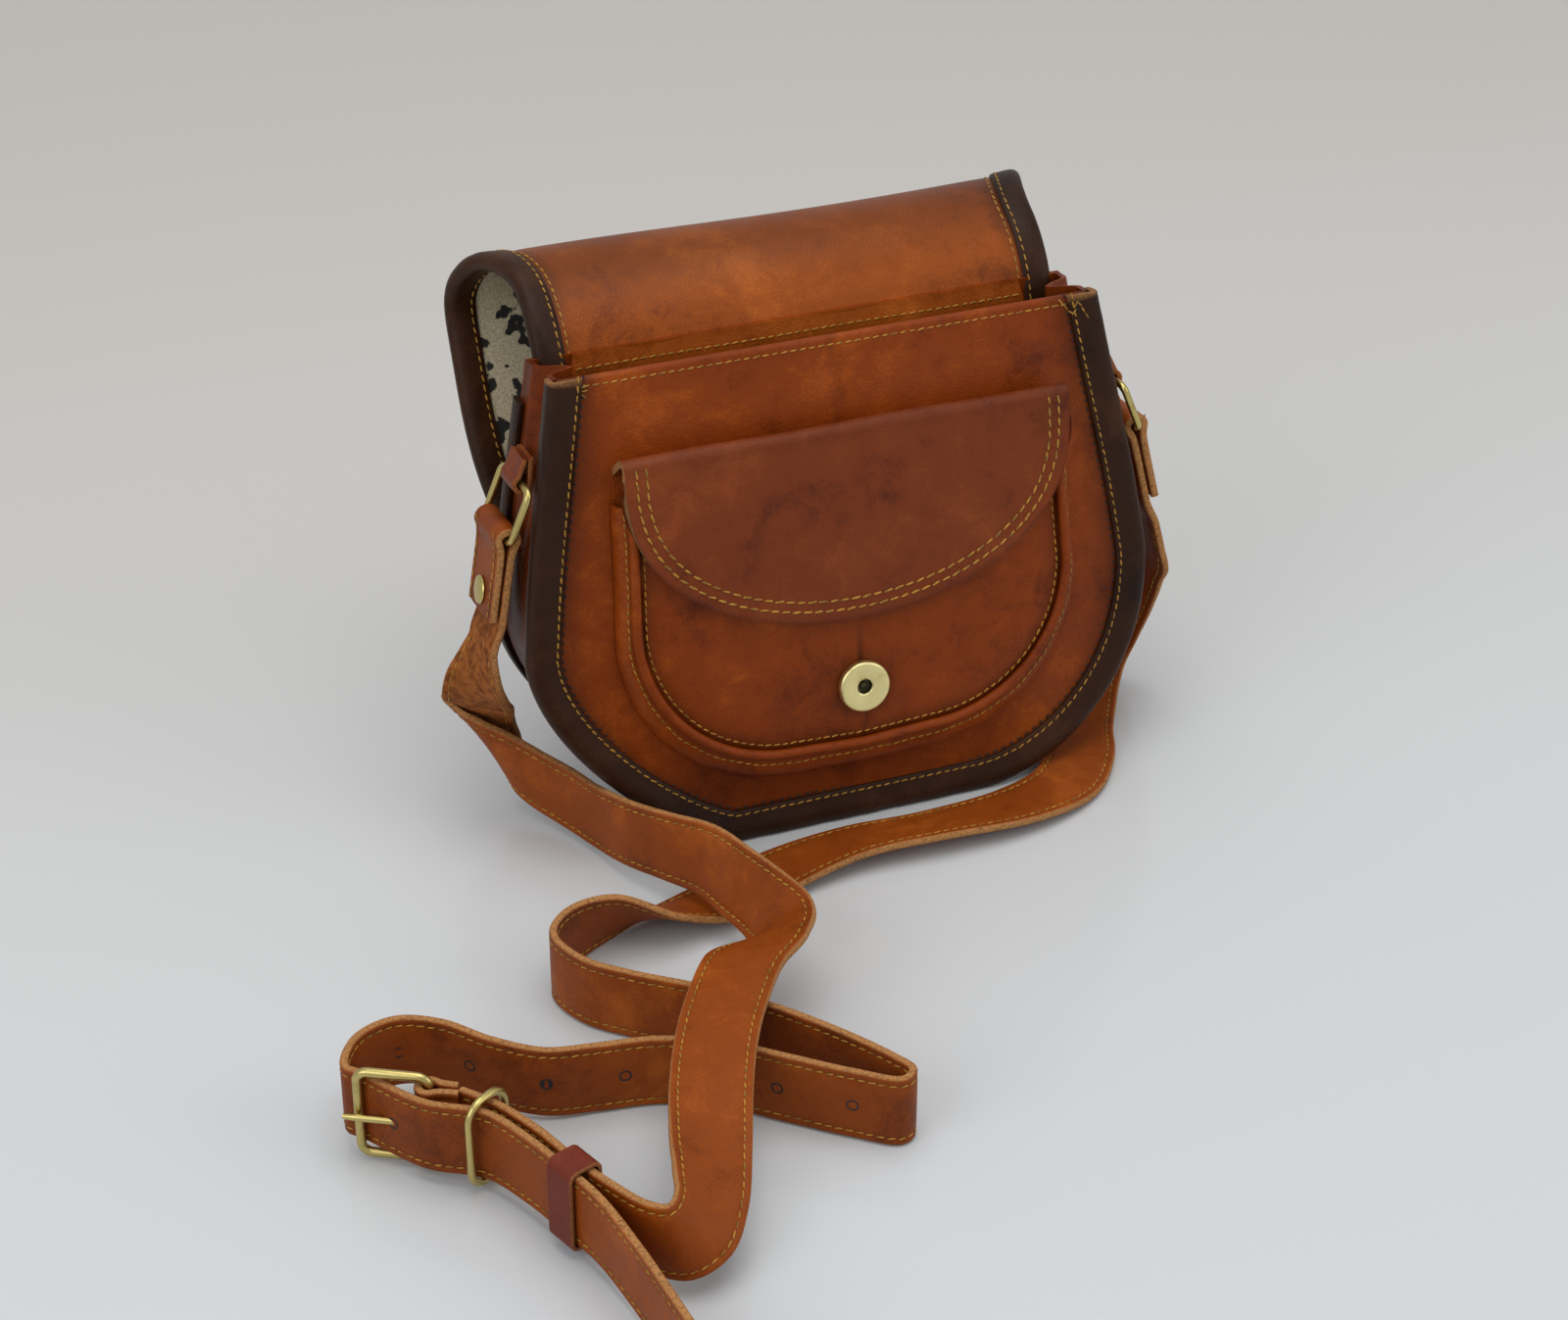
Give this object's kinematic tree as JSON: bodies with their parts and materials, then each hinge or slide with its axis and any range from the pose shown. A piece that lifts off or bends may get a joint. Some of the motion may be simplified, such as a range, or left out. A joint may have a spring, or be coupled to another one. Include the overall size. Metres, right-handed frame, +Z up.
{
  "type": "crossbody flap bag",
  "caption": "Small D-shaped leather flap bag with a patch pocket, a main flap that folds back, a magnetic snap and a buckled shoulder strap on side rings.",
  "frame": {"origin": "middle of the flat base, on the floor", "axes": "+X to the right seen from the front, +Y from the front to the back, +Z up"},
  "size_m": [0.3432, 0.3791, 0.1871],
  "materials": {
    "leather": "smooth cognac leather, satin",
    "binding": "dark brown leather, satin",
    "red_leather": "reddish brown leather, satin",
    "strap": "tan leather with pale raw edges",
    "cloth": "plain woven lining",
    "hide": "short hair-on hide, dark spots on cream",
    "brass": "brushed"
  },
  "bodies": {
    "bag": {"front_panel": "leather", "back_panel": "leather", "gusset": "leather", "front_binding": "binding", "back_binding": "binding", "front_hem": "leather", "back_facing": "leather", "front_lining": "cloth", "back_lining": "cloth", "pocket_front": "leather", "pocket_gusset": "leather", "pocket_piping": "leather", "pocket_flap_top": "red_leather", "snap_socket": "brass", "snap_socket_washer": "brass", "ring_tab_left": "leather", "ring_tab_right": "leather", "buckle_strap": "strap", "punched_strap": "strap", "buckle_fold": "strap", "buckle_frame": "brass", "keeper_ring": "brass"},
    "flap_a": {"flap_strip_1": "leather", "flap_binding_left_1": "binding", "flap_binding_right_1": "binding"},
    "flap_b": {"flap_strip_2": "leather", "flap_binding_left_2": "binding", "flap_binding_right_2": "binding"},
    "flap_c": {"flap_strip_3": "leather", "flap_binding_left_3": "binding", "flap_binding_right_3": "binding"},
    "flap_d": {"flap_skirt_lining": "leather", "flap_skirt_hide": "hide", "flap_binding_skirt": "binding", "snap_stud": "brass", "snap_stud_washer": "brass"},
    "pocket_lid": {"pocket_flap": "red_leather"},
    "left_ring": {"ring_left": "brass", "strap_end_left": "strap", "strap_rivet_left": "brass"},
    "right_ring": {"ring_right": "brass", "strap_end_right": "strap", "strap_rivet_right": "brass"},
    "prong": {"buckle_prong": "brass"},
    "keeper": {"strap_keeper": "red_leather"}
  },
  "joints": [
    {"name": "flap_fold_1", "type": "hinge", "parent": "bag", "child": "flap_a", "pos_m": [0, 0.0331, 0.16475], "axis": [1, 0, 0], "range_deg": [0, 70]},
    {"name": "flap_fold_2", "type": "hinge", "parent": "flap_a", "child": "flap_b", "pos_m": [0, 0.05148, 0.18314], "axis": [1, 0, 0], "range_deg": [0, 105]},
    {"name": "flap_fold_3", "type": "hinge", "parent": "flap_b", "child": "flap_c", "pos_m": [0, 0.07747, 0.18404], "axis": [1, 0, 0], "range_deg": [0, 115.5]},
    {"name": "flap_fold_4", "type": "hinge", "parent": "flap_c", "child": "flap_d", "pos_m": [0, 0.09347, 0.16356], "axis": [1, 0, 0], "range_deg": [0, 86.84]},
    {"name": "pocket_flap_lift", "type": "hinge", "parent": "bag", "child": "pocket_lid", "pos_m": [0, -0.01279, 0.14526], "axis": [1, 0, 0], "range_deg": [-150, 0]},
    {"name": "left_ring_swing", "type": "hinge", "parent": "bag", "child": "left_ring", "pos_m": [-0.10554, 0.01456, 0.13265], "axis": [0, 0.993, -0.1183], "range_deg": [0, 25]},
    {"name": "right_ring_swing", "type": "hinge", "parent": "bag", "child": "right_ring", "pos_m": [0.10554, 0.01456, 0.13265], "axis": [0, -0.993, 0.1183], "range_deg": [0, 25]},
    {"name": "prong_lift", "type": "hinge", "parent": "bag", "child": "prong", "pos_m": [-0.188, -0.1516, 0.0175], "axis": [0, 0, 1], "range_deg": [0, 4]},
    {"name": "keeper_slide", "type": "slide", "parent": "bag", "child": "keeper", "axis": [0.3401, -0.9404, 0], "range_m": [-0.002, 0.002]}
  ],
  "couplings": [
    {"joint": "flap_fold_2", "follows": "flap_fold_1", "ratio": 1.5},
    {"joint": "flap_fold_3", "follows": "flap_fold_1", "ratio": 1.65},
    {"joint": "flap_fold_4", "follows": "flap_fold_1", "ratio": 1.2406}
  ]
}
